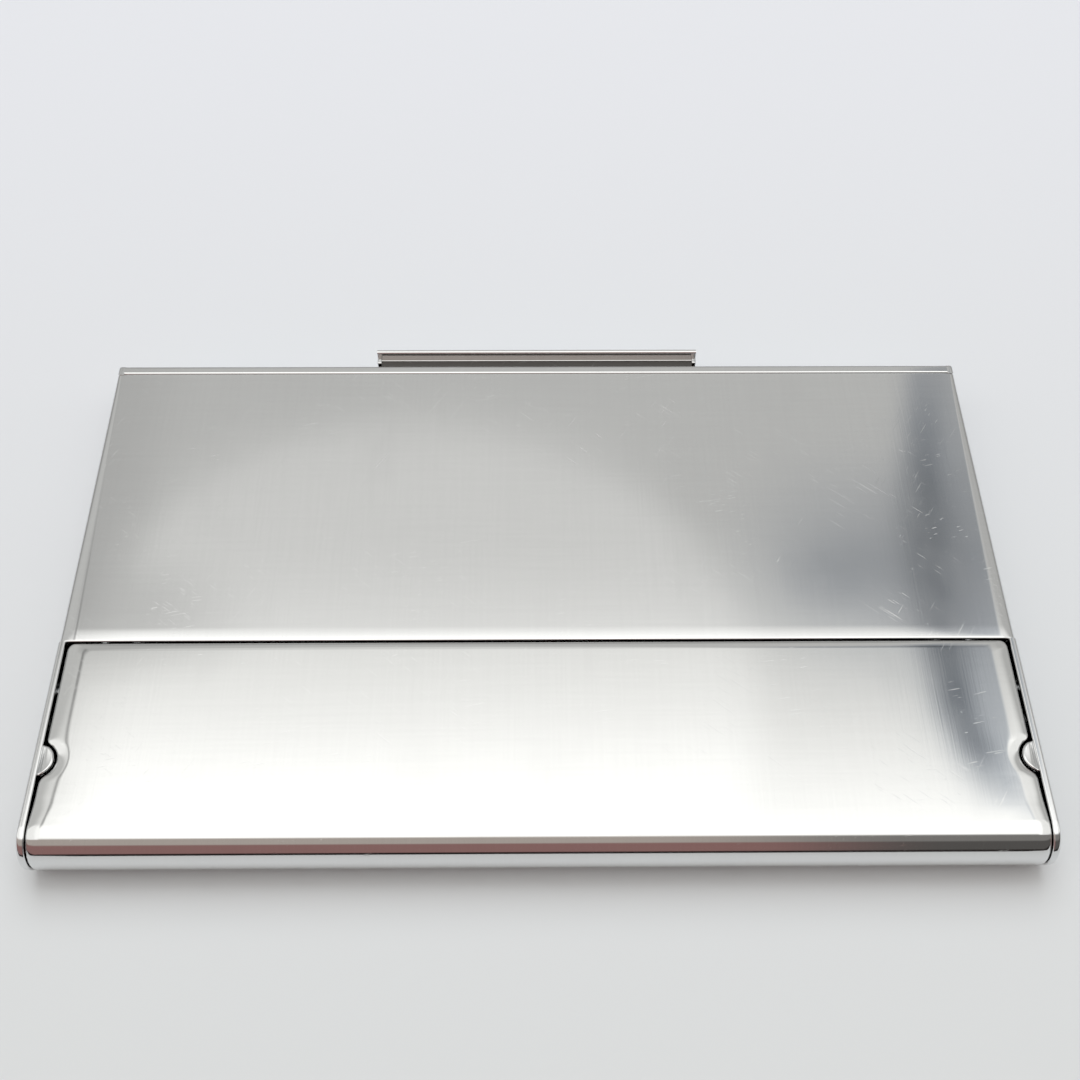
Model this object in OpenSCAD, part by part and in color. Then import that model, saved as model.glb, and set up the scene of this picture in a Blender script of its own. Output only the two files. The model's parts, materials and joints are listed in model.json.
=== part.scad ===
// Metal business card case. The front of the top is a lid with a rolled front edge, which turns
// on pins in the case's round cheeks. A thumb bar behind the case slides forward 1.6 mm, and two
// link arms inside turn that into the lid's opening.
// +Z is up, the lid is at -Y, and the origin is under the middle of the whole object.

/* [Case] */
// Width of the case over its side walls
case_w = 96; // [95:0.5:104]
// Depth of the case without the thumb bar
case_d = 57.1; // [56:0.1:62]
// Thickness of the closed case, which is also the diameter of the rolled front
case_t = 6.2; // [6.2:0.1:6.6]
// Thickness of the side walls, rails and cheeks
wall = 0.7; // [0.6:0.05:0.7]
// Thickness of the top and bottom sheets
sheet = 0.5; // [0.4:0.05:0.5]
// Radius of the bend between the top and the side walls
bend_r = 0.55; // [0.3:0.05:0.6]

/* [Lid] */
// Depth from the hinge axis to the seam between the lid and the fixed top
seam_reach = 18.9; // [17:0.1:21]
// Thickness of the lid's sheet
lid_sheet = 0.45; // [0.35:0.05:0.45]
// Gap between the lid and each side rail
rail_gap = 0.45; // [0.35:0.05:0.5]
// Gap between the lid and the fixed top
seam_gap = 0.3; // [0.25:0.05:0.4]
// Height of the lid's turned-down edges
skirt_h = 0.9; // [0.7:0.1:1]
// How far the lid opens, in degrees
open_deg = 90; // [60:5:90]

/* [Lugs] */
// Distance of the half-moon lugs behind the hinge axis
lug_y = 6.4; // [6:0.1:8]
// Radius of the half-moon lugs
lug_r = 1.55; // [1.2:0.05:1.8]
// Gap round the lugs
lug_gap = 0.42; // [0.4:0.02:0.6]

/* [Thumb bar] */
// Width of the thumb bar
bar_w = 37; // [30:1:44]
// Gap between the closed case and the thumb bar, which holds the bar's travel
bar_gap = 1.8; // [1.7:0.05:2.2]
// Thickness of the thumb bar
bar_t = 0.5; // [0.4:0.05:0.6]
// Distance of the crank pins from the hinge axis
crank_r = 1.15; // [1:0.05:1.2]

/* [Hidden] */

$fn = 96;
eps = 0.01;
left = -1;
right = 1;

// Main planes. The depth is centred with the thumb bar counted in.
y_front = -(case_d + bar_gap + bar_t) / 2;
y_rear = y_front + case_d;
y_axis = y_front + case_t / 2;
z_axis = case_t / 2;
y_seam = y_axis + seam_reach;
x_in = case_w / 2 - wall;
x_mid = case_w / 2;

// Rear wall, a pressed channel whose upper lip closes the top
lip_d = 1.25;
lip_gap = 0.08;
wall_t = 0.5;
y_lip = y_rear - lip_d;
side_gap = 0.05;

// Lid
lid_x = x_in - rail_gap;
y_lid = y_seam - seam_gap;
roll_ro = case_t / 2;
roll_ri = roll_ro - lid_sheet;
roll_end = 290;
lip_half_w = 44.8 + (case_w - 96) / 2;
lip_step = 0.25;
lid_bend_r = 0.42;
skirt_start = 1.7;
lug_x = x_in + 0.2;
notch_r = lug_r + lug_gap;

// Lid ends, pins and washers, from the cheek inwards
pin_r = 0.5;
run_gap = 0.05;
washer_t = 0.4;
washer_r = 1.1;
end_t = 0.45;
end_out = lid_x - 0.1;
end_in = end_out - end_t;
crank_pin_r = 0.35;
crank_start = (180 - open_deg) / 2;
travel = 2 * crank_r * cos(crank_start);

// Link arms
arm_out = end_in - 0.3;
arm_t = 0.3;
arm_in = arm_out - arm_t;
crank_y = crank_r * cos(crank_start);
crank_low = crank_r * sin(crank_start);
yoke_half = crank_pin_r + 0.08;
yoke_rim = 0.37;
shank_lo = z_axis + 0.9;
shank_hi = z_axis + 1.75;
shank_mid = (shank_lo + shank_hi) / 2;
y_cross_front = y_lip - 6.4;
cross_d = 4;
frame_hi = case_t - sheet - 0.55;
frame_t = 0.45;
frame_lo = frame_hi - frame_t;
tab_t = 0.25;
tab_w = 2.6;
stud_r = 0.4;
stud_y = [y_axis + 14, y_axis + 32];
slot_pad_h = 1.7;
slot_rim = 0.5;
slot_half = stud_r + run_gap;
slot_run = travel + 0.1;

// Bottom cover
cover_x = x_in - side_gap;
y_cover = y_axis + 2.1;
flange_t = 0.4;
flange_h = 1.9;
flange_start = 4.5;
tab_h = 1.9;
tab_overlap = 0.4;
rivet_r = 0.45;
small_rivet_r = 0.35;
head_r = 0.2;
head_t = 0.15;
wall_rivet_y = y_rear - 0.9;
cover_rivet_y = [y_axis + 7, (y_axis + y_rear) / 2, y_rear - 5];
cover_rivet_z = 1.25;

// Springs
spring_w = 20;
spring_t = 0.2;
spring_chord = 34;
spring_rise = 2.2;
spring_y = y_axis + 8;
spring_r = (pow(spring_chord / 2, 2) + pow(spring_rise, 2)) / (2 * spring_rise);
spring_deg = asin(spring_chord / 2 / spring_r);
foot_d = 3.2;
dome_t = 0.25;
dome_r = 0.3;
detent_y = y_axis + 41;
detent_d = 9;
detent_h = 1.3;
detent_t = 0.2;
dimple_r = 0.9;
detent_dimple = x_in - detent_t - arm_out - 0.05;

// Thumb bar and the tongue that carries it
bar_lo = 1.2;
bar_return = 0.9;
return_hi = case_t - sheet - 0.25;
return_slot = 0.25;
tongue_w = bar_w - 2 * bar_t;
tongue_slot = 0.35;
y_bar = y_rear + bar_gap;
bar_rivet_r = 0.22;
bar_rivet_x = 10;
groove_r = 0.12;
groove_n = 4;

nickel = [0.74, 0.75, 0.76];
polished = [0.8, 0.81, 0.82];
spring_steel = [0.55, 0.56, 0.58];

// A shape given in X and Z, drawn out from y0 to y1
module along_y(y0, y1)
    translate([0, y1, 0]) rotate([90, 0, 0]) linear_extrude(y1 - y0) children();

// A shape given in Y and Z, drawn out from x0 to x1
module along_x(x0, x1)
    translate([x0, 0, 0]) rotate([90, 0, 90]) linear_extrude(x1 - x0) children();

// A round bar along X
module bar_x(x0, x1, y, z, r)
    translate([x0, y, z]) rotate([0, 90, 0]) cylinder(h = x1 - x0, r = r);

// A part-ring about the hinge axis. 0 degrees points to +Y and 90 points up.
module ring_x(x0, x1, r0, r1, a0, a1)
    translate([x0, y_axis, z_axis]) rotate([90, 0, 90]) rotate([0, 0, a0])
        rotate_extrude(angle = a1 - a0) translate([r0, 0]) square([r1 - r0, x1 - x0]);

// Mirrors to the left side where side is -1
module on_side(side) mirror([side < 0 ? 1 : 0, 0, 0]) children();

// A cross-section in X and Z: a sheet with turned-down sides and rounded upper corners
module pressed_section(half_w, low, top, r, side_t, top_t) {
    difference() {
        union() {
            translate([-half_w, low]) square([2 * half_w, top - r - low]);
            translate([-half_w + r, low]) square([2 * (half_w - r), top - low]);
            for (s = [-1, 1]) translate([s * (half_w - r), top - r]) circle(r);
        }
        translate([-half_w + side_t, low - 1])
            square([2 * (half_w - side_t), top - top_t - low + 1]);
    }
}

// The case seen from the side: a round front and a square back
module side_outline() {
    translate([y_axis, z_axis]) circle(case_t / 2);
    translate([y_axis, 0]) square([y_rear - y_axis, case_t]);
}

// The pressed shell: fixed top, side walls, rails beside the lid, cheeks and half-moon lugs
module top_shell() {
    color(polished) difference() {
        union() {
            difference() {
                intersection() {
                    along_y(y_front - 1, y_rear)
                        pressed_section(case_w / 2, 0, case_t, bend_r, wall, sheet);
                    along_x(-case_w, case_w) side_outline();
                }
                translate([-x_in, y_front - 2, case_t / 2])
                    cube([2 * x_in, y_seam - y_front + 2, case_t]);
                translate([-x_in, y_lip - lip_gap, case_t / 2])
                    cube([2 * x_in, case_d, case_t]);
            }
            for (side = [left, right]) on_side(side) intersection() {
                translate([lug_x, y_axis + lug_y, case_t - sheet]) cylinder(h = sheet, r = lug_r);
                translate([0, y_axis, 0]) cube([x_in + wall / 2, case_d, case_t]);
            }
        }
        bar_x(-case_w, case_w, y_axis, z_axis, pin_r);
        for (y = cover_rivet_y) bar_x(-case_w, case_w, y, cover_rivet_z, rivet_r);
        for (y = stud_y) bar_x(-case_w, case_w, y, shank_mid, stud_r);
        bar_x(-case_w, case_w, wall_rivet_y, z_axis, small_rivet_r);
        for (y = [-1, 1] * (detent_d / 2 - 1))
            bar_x(-case_w, case_w, detent_y + y, shank_mid, small_rivet_r);
    }
}

// Flat bottom with low flanges inside the side walls
module bottom_cover() {
    y_end = y_lip - lip_gap;
    color(nickel) difference() {
        union() {
            translate([-cover_x, y_cover, 0]) cube([2 * cover_x, y_end - y_cover, sheet]);
            for (side = [left, right]) on_side(side)
                translate([cover_x - flange_t, y_axis + flange_start, 0])
                    cube([flange_t, y_end - y_axis - flange_start, flange_h]);
        }
        for (y = cover_rivet_y) bar_x(-case_w, case_w, y, cover_rivet_z, rivet_r);
        for (s = [-1, 1]) translate([s * spring_w / 4, spring_y + foot_d / 2, -1])
            cylinder(h = 3, r = rivet_r);
    }
}

// Rear wall with an upper lip, a lower flange, and slots for the tongue and the bar's ends
module rear_wall() {
    tab_d = lip_d + tab_overlap;
    color(polished) difference() {
        union() {
            translate([-cover_x, y_rear - wall_t, 0]) cube([2 * cover_x, wall_t, case_t]);
            translate([-cover_x, y_lip, case_t - sheet]) cube([2 * cover_x, lip_d, sheet]);
            translate([-cover_x, y_lip, 0]) cube([2 * cover_x, lip_d, sheet]);
            for (side = [left, right]) on_side(side)
                translate([cover_x - flange_t, y_rear - tab_d, flange_h + 0.2])
                    cube([flange_t, tab_d, tab_h]);
        }
        translate([-tongue_w / 2 - tongue_slot, y_rear - 3, frame_lo - tongue_slot])
            cube([tongue_w + 2 * tongue_slot, 5, frame_t + 2 * tongue_slot]);
        for (side = [left, right]) on_side(side)
            translate([bar_w / 2 - bar_t - return_slot, y_rear - 1, bar_lo - return_slot])
                cube([bar_t + 2 * return_slot, 2, case_t - sheet - bar_lo + return_slot]);
        bar_x(-case_w, case_w, wall_rivet_y, z_axis, small_rivet_r);
    }
}

// Flush rivets that hold the bottom cover's flanges to the side walls
module cover_rivets() {
    color(nickel) for (side = [left, right], y = cover_rivet_y) on_side(side) {
        bar_x(cover_x - flange_t, x_mid, y, cover_rivet_z, rivet_r);
        bar_x(cover_x - flange_t - head_t, cover_x - flange_t, y, cover_rivet_z, rivet_r + head_r);
    }
}

// Flush rivets that hold the rear wall's end tabs
module rear_wall_rivets() {
    color(nickel) for (side = [left, right]) on_side(side)
        bar_x(cover_x - flange_t, x_mid, wall_rivet_y, z_axis, small_rivet_r);
}

// Bowed leaf that presses the cards up, with one flat foot
module card_spring() {
    y_arc = spring_y + foot_d + spring_chord / 2;
    color(spring_steel) difference() {
        union() {
            translate([-spring_w / 2, spring_y, sheet])
                cube([spring_w, foot_d + 0.1, spring_t]);
            intersection() {
                translate([-spring_w / 2, y_arc, sheet + spring_rise - spring_r])
                    rotate([90, 0, 90]) rotate([0, 0, 90 - spring_deg])
                        rotate_extrude(angle = 2 * spring_deg)
                            translate([spring_r, 0]) square([spring_t, spring_w]);
                translate([-spring_w, spring_y, sheet])
                    cube([2 * spring_w, 2 * spring_chord, case_t]);
            }
        }
        for (s = [-1, 1]) translate([s * spring_w / 4, spring_y + foot_d / 2, 0])
            cylinder(h = 3, r = rivet_r);
    }
}

// Rivets through the spring's foot, flush underneath and low-domed inside
module card_spring_rivets() {
    color(nickel) for (s = [-1, 1])
        translate([s * spring_w / 4, spring_y + foot_d / 2, 0]) {
            cylinder(h = sheet + spring_t, r = rivet_r);
            translate([0, 0, sheet + spring_t]) cylinder(h = dome_t, r = rivet_r + dome_r);
        }
}

// Leaf on the side wall whose dimple holds the arm at both ends of its travel
module detent_spring(side) {
    x_face = x_in - detent_t;
    color(spring_steel) on_side(side) difference() {
        union() {
            translate([x_face, detent_y - detent_d / 2, shank_mid - detent_h / 2])
                cube([detent_t, detent_d, detent_h]);
            intersection() {
                translate([x_face + dimple_r - detent_dimple, detent_y, shank_mid])
                    sphere(dimple_r);
                translate([x_face - 2, detent_y - 2, shank_mid - detent_h / 2])
                    cube([2 + detent_t / 2, 4, detent_h]);
            }
        }
        for (y = [-1, 1] * (detent_d / 2 - 1))
            bar_x(0, case_w, detent_y + y, shank_mid, small_rivet_r);
    }
}

// Flush rivets that hold the two detent leaves
module detent_rivets() {
    color(nickel) for (side = [left, right], y = [-1, 1] * (detent_d / 2 - 1)) on_side(side)
        bar_x(x_in - detent_t, x_mid, detent_y + y, shank_mid, small_rivet_r);
}

// Headed studs in the side wall that carry a link arm by its slots
module guide_studs(side) {
    color(nickel) on_side(side) for (y = stud_y) {
        bar_x(arm_in - 0.05, x_mid, y, shank_mid, stud_r);
        bar_x(arm_out + 0.08, x_in, y, shank_mid, stud_r + 0.3);
        bar_x(arm_in - 0.25, arm_in - 0.05, y, shank_mid, stud_r + 0.3);
    }
}

// Pin in the cheek that the lid's end turns on
module hinge_pin(side) {
    color(nickel) on_side(side) bar_x(end_in - 0.1, x_mid, y_axis, z_axis, pin_r);
}

// Thin washers between the cheeks and the lid's ends
module hinge_washers() {
    color(nickel) for (side = [left, right]) on_side(side) difference() {
        bar_x(x_in - washer_t, x_in, y_axis, z_axis, washer_r);
        bar_x(x_in - 1, x_in + 1, y_axis, z_axis, pin_r);
    }
}

// The lid: flat panel with turned-down edges, notches round the lugs, and the rolled front
module lid() {
    color(polished) difference() {
        union() {
            ring_x(-lid_x, lid_x, roll_ri, roll_ro, 90, roll_end);
            along_y(y_axis, y_axis + skirt_start) intersection() {
                pressed_section(lid_x, case_t - skirt_h, case_t, lid_bend_r, lid_sheet, lid_sheet);
                translate([-lid_x, case_t - lid_sheet]) square([2 * lid_x, lid_sheet]);
            }
            along_y(y_axis + skirt_start, y_lid)
                pressed_section(lid_x, case_t - skirt_h, case_t, lid_bend_r, lid_sheet, lid_sheet);
            translate([-lid_x, y_lid - lid_sheet, case_t - skirt_h])
                cube([2 * lid_x, lid_sheet, skirt_h - lid_bend_r]);
        }
        for (side = [left, right]) on_side(side) {
            translate([lug_x, y_axis + lug_y, 0]) cylinder(h = 2 * case_t, r = notch_r);
            translate([lip_half_w, y_axis + lip_step, -1]) cube([case_w, case_t, 1 + case_t / 2]);
        }
    }
}

// Round plate that closes one end of the roll and carries the hinge and crank pins
module lid_end(side) {
    color(nickel) on_side(side) difference() {
        bar_x(end_in, end_out, y_axis, z_axis, roll_ri);
        bar_x(0, case_w, y_axis, z_axis, pin_r + run_gap);
        bar_x(0, case_w, y_axis + crank_y, z_axis + crank_low, crank_pin_r);
    }
}

// Pin on the lid's end that the link arm's yoke works on
module crank_pin(side) {
    color(nickel) on_side(side)
        bar_x(arm_in - 0.15, end_out, y_axis + crank_y, z_axis + crank_low, crank_pin_r);
}

// Cross plate that joins the two arms, with the tongue that runs out through the rear wall
module push_frame() {
    color(nickel) difference() {
        union() {
            translate([-arm_out, y_cross_front, frame_lo]) cube([2 * arm_out, cross_d, frame_t]);
            translate([-tongue_w / 2, y_cross_front, frame_lo])
                cube([tongue_w, y_bar - y_cross_front, frame_t]);
        }
        for (side = [left, right]) on_side(side)
            translate([arm_out - tab_w / 2, y_cross_front + cross_d / 2, 0])
                cylinder(h = case_t, r = rivet_r);
    }
}

// One link arm: yoke at the front, two guide slots, and a bent tab on the cross plate
module link_arm(side) {
    y_crank = y_axis + crank_y;
    yoke_lo = z_axis + crank_low - crank_pin_r - 0.1;
    yoke_hi = z_axis + crank_r + crank_pin_r + 0.1;
    y_back = y_cross_front + cross_d;
    color(nickel) on_side(side) difference() {
        union() {
            along_x(arm_in, arm_out) {
                translate([y_crank - yoke_half - yoke_rim, yoke_lo - yoke_rim])
                    square([2 * (yoke_half + yoke_rim), yoke_hi - yoke_lo + 2 * yoke_rim]);
                translate([y_crank, shank_lo]) square([y_back - y_crank, shank_hi - shank_lo]);
                for (y = stud_y) translate([y - slot_half - slot_rim, shank_mid - slot_pad_h / 2])
                    square([slot_run + 2 * (slot_half + slot_rim), slot_pad_h]);
                translate([y_cross_front, frame_hi]) square([cross_d, tab_t]);
                translate([y_cross_front - 0.6, shank_lo]) square([0.6, frame_hi + tab_t - shank_lo]);
            }
            translate([arm_out - tab_w, y_cross_front, frame_hi]) cube([tab_w, cross_d, tab_t]);
        }
        along_x(0, case_w) translate([y_crank - yoke_half, yoke_lo])
            square([2 * yoke_half, yoke_hi - yoke_lo]);
        // The plate's end stands in this step, so the shank stops short of it
        translate([0, y_cross_front, 0]) cube([case_w, case_d, frame_hi]);
        for (y = stud_y) along_x(0, case_w) {
            for (end = [0, slot_run]) translate([y + end, shank_mid]) circle(slot_half);
            translate([y, shank_mid - slot_half]) square([slot_run, 2 * slot_half]);
        }
        for (dy = [0, travel]) translate([arm_out + dimple_r - 0.12, detent_y + dy, shank_mid])
            sphere(dimple_r);
        translate([arm_out - tab_w / 2, y_cross_front + cross_d / 2, 0])
            cylinder(h = case_t, r = rivet_r);
    }
}

// Flush rivets that join the arms' tabs to the cross plate
module link_rivets() {
    color(nickel) for (side = [left, right]) on_side(side)
        translate([arm_out - tab_w / 2, y_cross_front + cross_d / 2, frame_lo])
            cylinder(h = frame_t + tab_t, r = rivet_r);
}

// Upright thumb bar, finely grooved behind, whose returned ends run into the rear wall's slots
module thumb_bar() {
    groove_step = (case_t - bar_lo) / (groove_n + 1);
    color(polished) difference() {
        union() {
            translate([-bar_w / 2, y_bar, bar_lo]) cube([bar_w, bar_t, case_t - bar_lo]);
            for (side = [left, right]) on_side(side)
                translate([bar_w / 2 - bar_t, y_bar - bar_return, bar_lo])
                    cube([bar_t, bar_return + eps, return_hi - bar_lo]);
        }
        for (i = [1:groove_n]) bar_x(-bar_w, bar_w, y_bar + bar_t, bar_lo + i * groove_step, groove_r);
        for (s = [-1, 1]) translate([s * bar_rivet_x, y_bar + bar_t / 2, (frame_lo + frame_hi) / 2])
            rotate([90, 0, 0]) cylinder(h = 3, r = bar_rivet_r, center = true);
    }
}

// Studs on the end of the tongue, flush in the thumb bar
module thumb_bar_rivets() {
    color(nickel) for (s = [-1, 1])
        translate([s * bar_rivet_x, y_bar + bar_t, (frame_lo + frame_hi) / 2])
            rotate([90, 0, 0]) cylinder(h = bar_t, r = bar_rivet_r);
}

top_shell();
bottom_cover();
rear_wall();
cover_rivets();
rear_wall_rivets();
card_spring();
card_spring_rivets();
detent_spring(left);  // detent_spring_left
detent_spring(right);  // detent_spring_right
detent_rivets();
guide_studs(left);  // guide_studs_left
guide_studs(right);  // guide_studs_right
hinge_pin(left);  // hinge_pin_left
hinge_pin(right);  // hinge_pin_right
hinge_washers();
lid();
lid_end(left);  // lid_end_left
lid_end(right);  // lid_end_right
crank_pin(left);  // crank_pin_left
crank_pin(right);  // crank_pin_right
push_frame();
link_arm(left);  // link_arm_left
link_arm(right);  // link_arm_right
link_rivets();
thumb_bar();
thumb_bar_rivets();
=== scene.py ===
"""Looks of the metal business card case: refined sheet-metal pieces round the CAD frame, in metres."""

import json
import math

import bmesh
import bpy
from mathutils import Matrix, Vector


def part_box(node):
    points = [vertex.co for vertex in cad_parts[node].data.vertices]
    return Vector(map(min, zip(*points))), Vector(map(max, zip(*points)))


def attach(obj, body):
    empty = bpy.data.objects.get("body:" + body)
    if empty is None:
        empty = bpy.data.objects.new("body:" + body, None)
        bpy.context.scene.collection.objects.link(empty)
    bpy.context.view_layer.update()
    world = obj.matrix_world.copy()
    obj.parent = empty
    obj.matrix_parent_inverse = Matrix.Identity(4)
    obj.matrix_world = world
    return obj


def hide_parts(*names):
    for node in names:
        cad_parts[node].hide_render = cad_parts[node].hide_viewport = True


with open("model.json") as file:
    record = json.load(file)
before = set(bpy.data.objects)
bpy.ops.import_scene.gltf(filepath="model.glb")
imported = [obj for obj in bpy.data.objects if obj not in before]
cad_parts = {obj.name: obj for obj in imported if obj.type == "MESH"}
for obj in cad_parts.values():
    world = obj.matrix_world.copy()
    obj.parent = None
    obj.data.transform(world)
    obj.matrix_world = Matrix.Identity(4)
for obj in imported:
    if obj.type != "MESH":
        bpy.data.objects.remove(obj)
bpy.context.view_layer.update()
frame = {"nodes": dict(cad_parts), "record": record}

MM = 0.001
SIDES = (-1, 1)                             # left and right

# ---------------------------------------------------------------- sizes, from the frame
shell_low, shell_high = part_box("top_shell")
_, lid_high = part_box("lid")
_, wall_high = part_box("rear_wall")
bar_low, bar_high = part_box("thumb_bar")
tongue_low, tongue_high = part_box("push_frame")

FLUSH = 0.02 * MM                           # how far flush rivet heads stand out of the drawn sheets
HALF_W = shell_high.x - FLUSH               # outer face of the right side wall
THICK = shell_high.z                        # closed thickness
ROLL_R = THICK / 2                          # rolled front and cheeks
AXIS_Y = shell_low.y + ROLL_R               # hinge axis
AXIS_Z = ROLL_R
REAR_Y = shell_high.y
WALL = 0.8 * MM                             # side wall, rail and cheek
INNER_X = HALF_W - WALL
SHEET = 0.5 * MM

LIP_Y = REAR_Y - 1.25 * MM                  # front of the rear wall's upper lip
LIP_GAP = 0.08 * MM
FRONT_LAP = 0.5 * MM                        # how far a wall's ends run on under the shell's sides
REAR_LAP = 0.34 * MM
LAP_TOP = THICK - 0.9 * MM                  # upper end of those laps

# ---------------------------------------------------------------- sizes of the lid
LID_SHEET = 0.45 * MM
LID_X = lid_high.x + 0.13 * MM
LID_REAR = lid_high.y
SEAM_Y = LID_REAR + 0.2 * MM
LUG_Y = AXIS_Y + 6.4 * MM
LUG_X = INNER_X + 0.3 * MM
LUG_R = 1.55 * MM
NOTCH_R = LUG_R + 0.22 * MM
LIP_STEP_DEG = 275                          # where the roll's underside narrows
LIP_END_DEG = 290                           # where the roll ends
LIP_HALF_W = 44.8 * MM

# places along the lid's sheet, behind the hinge axis's top line (less than 0 round the roll)
S_REAR = LID_REAR - AXIS_Y
S_LUG = LUG_Y - AXIS_Y
S_STEP = -ROLL_R * math.radians(LIP_STEP_DEG - 90)
S_END = -ROLL_R * math.radians(LIP_END_DEG - 90)

LID_CORNER = 0.7 * MM                       # rear corners, seen from above
REAR_BEND_W, REAR_BEND_H = 0.9 * MM, 0.22 * MM
SIDE_BEND_W, SIDE_BEND_H = 2.1 * MM, 0.40 * MM
ROLL_BEND_W, ROLL_BEND_H = 0.3 * MM, 0.10 * MM
LIP_BEND_W = 0.12 * MM
ROLL_SPREAD = 0.12 * MM                     # how much nearer the roll reaches to the cheeks
SKIRT = 0.5 * MM                            # turned-down edge below the bends

SHARP_DEG = 38                              # edges sharper than this stay crisp


# ---------------------------------------------------------------- outlines
def quarter_turns(steps):
    """Angles in radians from 0 to a right angle, both ends included."""
    return [math.pi / 2 * i / steps for i in range(steps + 1)]


def arc(cx, cy, r, a0, a1, steps):
    """Points on a circle from a0 to a1 degrees, both ends included."""
    turns = [math.radians(a0 + (a1 - a0) * i / steps) for i in range(steps + 1)]
    return [(cx + r * math.cos(a), cy + r * math.sin(a)) for a in turns]


def rounded(corners, steps):
    """A closed outline from (x, y, radius) corners, with each corner rounded by a true arc."""
    points = []
    count = len(corners)
    for i, (x, y, r) in enumerate(corners):
        if r <= 0:
            points.append((x, y))
            continue
        here = Vector((x, y))
        back = (Vector(corners[i - 1][:2]) - here).normalized()
        ahead = (Vector(corners[(i + 1) % count][:2]) - here).normalized()
        half = back.angle(ahead) / 2
        centre = here + (back + ahead).normalized() * (r / math.sin(half))
        start = here + back * (r / math.tan(half)) - centre
        end = here + ahead * (r / math.tan(half)) - centre
        a0 = math.atan2(start.y, start.x)
        sweep = (math.atan2(end.y, end.x) - a0 + math.pi) % (2 * math.pi) - math.pi
        for k in range(steps + 1):
            a = a0 + sweep * k / steps
            points.append((centre.x + r * math.cos(a), centre.y + r * math.sin(a)))
    return points


def inset(outline, amount):
    """An anticlockwise outline moved inwards by an amount."""
    count = len(outline)
    moved = []
    for i, (x, y) in enumerate(outline):
        before = Vector(outline[i - 1])
        after = Vector(outline[(i + 1) % count])
        here = Vector((x, y))
        n0 = (here - before).normalized().orthogonal()
        n1 = (after - here).normalized().orthogonal()
        n = (n0 + n1).normalized()
        reach = 1 / max(n.dot(n0), 0.5)
        moved.append((x + n.x * amount * reach, y + n.y * amount * reach))
    return moved


def edge_profile(thick, r_first, r_last, steps):
    """(inset, height) pairs of a plate's edge, rounded at its first face and at its last."""
    turns = quarter_turns(steps)
    first = [(r_first * (1 - math.sin(a)), r_first * (1 - math.cos(a))) for a in turns]
    last = [(r_last * (1 - math.cos(a)), thick - r_last * (1 - math.sin(a))) for a in turns]
    return first + last


def spaced(low, high, step):
    """Evenly spaced places strictly between low and high, about step apart."""
    count = max(1, round((high - low) / step))
    return [low + (high - low) * i / count for i in range(1, count)]


# ---------------------------------------------------------------- meshes
def add_rings(bm, rings):
    """Quads between rings of points, each ring a list of 3D points. Returns the rings' vertices."""
    loops = [[bm.verts.new(p) for p in ring] for ring in rings]
    for low, high in zip(loops, loops[1:]):
        for i in range(len(low)):
            bm.faces.new((low[i - 1], low[i], high[i], high[i - 1]))
    return loops


def add_closed(bm, rings):
    """Quads between rings of points, closed by a face at both ends."""
    loops = add_rings(bm, rings)
    bm.faces.new(loops[0][::-1])
    bm.faces.new(loops[-1])


def add_plate(bm, outline, profile, place):
    """A closed plate. profile lists (inset, height) from one face round the edge to the other."""
    add_closed(bm, [[place(x, y, height) for x, y in inset(outline, amount)] for amount, height in profile])


def strip_along_x(bm, section, x0, x1, sunk=0.0):
    """A closed bar along X from a Y-Z section. Its end faces can be sunk inside a fine rim."""
    near = [(x0, 0.0)]
    if sunk:
        depths = [sunk * (1 - math.sin(a)) for a in quarter_turns(4)]
        near = [(x0 + depth, depth) for depth in depths]
    far = [(x1 - (x - x0), depth) for x, depth in reversed(near)]
    add_closed(bm, [[(x, y, z) for y, z in inset(section, depth)] for x, depth in near + far])


def cut_grid(bm, axis, places):
    """Cuts every face at planes across one axis."""
    normal = Vector((0, 0, 0))
    normal[axis] = 1
    for place in places:
        point = normal * place
        whole = bm.verts[:] + bm.edges[:] + bm.faces[:]
        bmesh.ops.bisect_plane(bm, geom=whole, plane_co=point, plane_no=normal, dist=1e-7)


def join(bm, part):
    """Adds one bmesh to another."""
    mesh = bpy.data.meshes.new("part")
    part.to_mesh(mesh)
    part.free()
    bm.from_mesh(mesh)
    bpy.data.meshes.remove(mesh)


def apply_modifiers(piece):
    """Bakes a piece's modifiers into its mesh."""
    if not piece.modifiers:
        return
    bpy.context.view_layer.update()
    evaluated = piece.evaluated_get(bpy.context.evaluated_depsgraph_get())
    mesh = bpy.data.meshes.new_from_object(evaluated)
    old = piece.data
    piece.modifiers.clear()
    piece.data = mesh
    bpy.data.meshes.remove(old)
    mesh.name = piece.name


def face_up(bm):
    """Turns an open sheet's faces so that its flat top looks upwards."""
    bmesh.ops.recalc_face_normals(bm, faces=bm.faces)
    highest = max(bm.faces, key=lambda face: face.calc_center_median().z)
    highest.normal_update()
    if highest.normal.z < 0:
        bmesh.ops.reverse_faces(bm, faces=bm.faces)


def finished(bm, name, body, nodes, material, modifiers=()):
    """Turns a bmesh into a named piece with its modifiers applied, and hangs it on its body."""
    if not modifiers:
        bmesh.ops.recalc_face_normals(bm, faces=bm.faces)
    mesh = bpy.data.meshes.new(name)
    bm.to_mesh(mesh)
    bm.free()
    piece = bpy.data.objects.new(name, mesh)
    bpy.context.scene.collection.objects.link(piece)
    for kind, settings in modifiers:
        modifier = piece.modifiers.new(kind.lower(), kind)
        for key, value in settings.items():
            setattr(modifier, key, value)
    apply_modifiers(piece)
    piece.data.shade_smooth()
    piece.data.set_sharp_from_angle(angle=math.radians(SHARP_DEG))
    weighted = piece.modifiers.new("flat_faces", "WEIGHTED_NORMAL")
    weighted.keep_sharp = True
    apply_modifiers(piece)
    piece.data.materials.clear()
    piece.data.materials.append(material)
    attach(piece, body)
    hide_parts(*nodes)


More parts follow.
